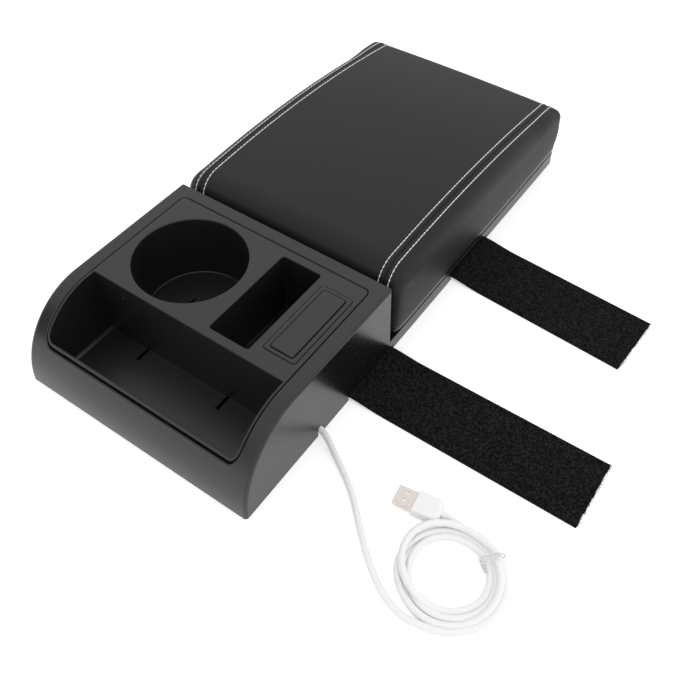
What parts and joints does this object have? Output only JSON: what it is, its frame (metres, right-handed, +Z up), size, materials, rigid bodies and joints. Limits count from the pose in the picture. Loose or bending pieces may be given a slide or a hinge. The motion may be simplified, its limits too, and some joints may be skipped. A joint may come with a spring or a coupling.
{
  "type": "car centre armrest",
  "caption": "Car centre armrest with cup well, phone pocket, front tray, pop-up USB hub, padded leather lid over a storage tub, fixing straps and a coiled USB lead.",
  "frame": {"origin": "centre of the underside, on the floor", "axes": "+Z up; +Y from the nose to the hinged rear end of the lid; +X to the side where the straps and the cable leave"},
  "size_m": [0.3315, 0.396, 0.0668],
  "materials": {
    "satin_abs": "satin black moulded ABS with a fine spark texture",
    "gloss_abs": "smoother black moulded ABS",
    "leatherette": "matte black PU leatherette with fine grain",
    "pu_foam": "open-cell PU foam",
    "webbing": "black loop-pile webbing",
    "white_pvc": "satin white PVC",
    "plated_steel": "nickel-plated sheet steel",
    "zinc_steel": "zinc-plated steel",
    "dark_nylon": "black moulded nylon",
    "board_green": "green solder mask",
    "bumper_rubber": "soft black rubber",
    "clear_tie": "clear plastic twist tie"
  },
  "bodies": {
    "root": {"main_housing": "satin_abs", "console_insert": "gloss_abs", "base_plate": "satin_abs", "base_screws": "zinc_steel", "insert_screws": "zinc_steel", "hub_frame": "gloss_abs", "lift_springs": "zinc_steel", "hub_lead": "white_pvc", "cable_clamp": "satin_abs", "hinge_pins": "zinc_steel", "lid_bumpers": "bumper_rubber", "front_strap": "webbing", "rear_strap": "webbing", "strap_anchors": "zinc_steel", "anchor_screws": "zinc_steel", "usb_lead": "white_pvc", "cable_coil": "white_pvc", "cable_tie": "clear_tie", "plug_overmould": "white_pvc", "plug_shell": "plated_steel", "plug_tongue": "dark_nylon"},
    "lid": {"lid_pan": "satin_abs", "lid_foam": "pu_foam", "cover_centre": "leatherette", "cover_left": "leatherette", "cover_right": "leatherette"},
    "usb_lift": {"lift_block": "gloss_abs", "lift_base": "satin_abs", "usb_sockets": "plated_steel", "usb_tongues": "dark_nylon", "usb_board": "board_green"}
  },
  "joints": [
    {"name": "lid_hinge", "type": "hinge", "parent": "root", "child": "lid", "pos_m": [0, 0.1954, 0.0134], "axis": [-1, 0, 0], "range_deg": [0, 95]},
    {"name": "usb_lift_slide", "type": "slide", "parent": "root", "child": "usb_lift", "axis": [0, 0, 1], "range_m": [0, 0.026], "deforming": ["lift_springs"]}
  ]
}
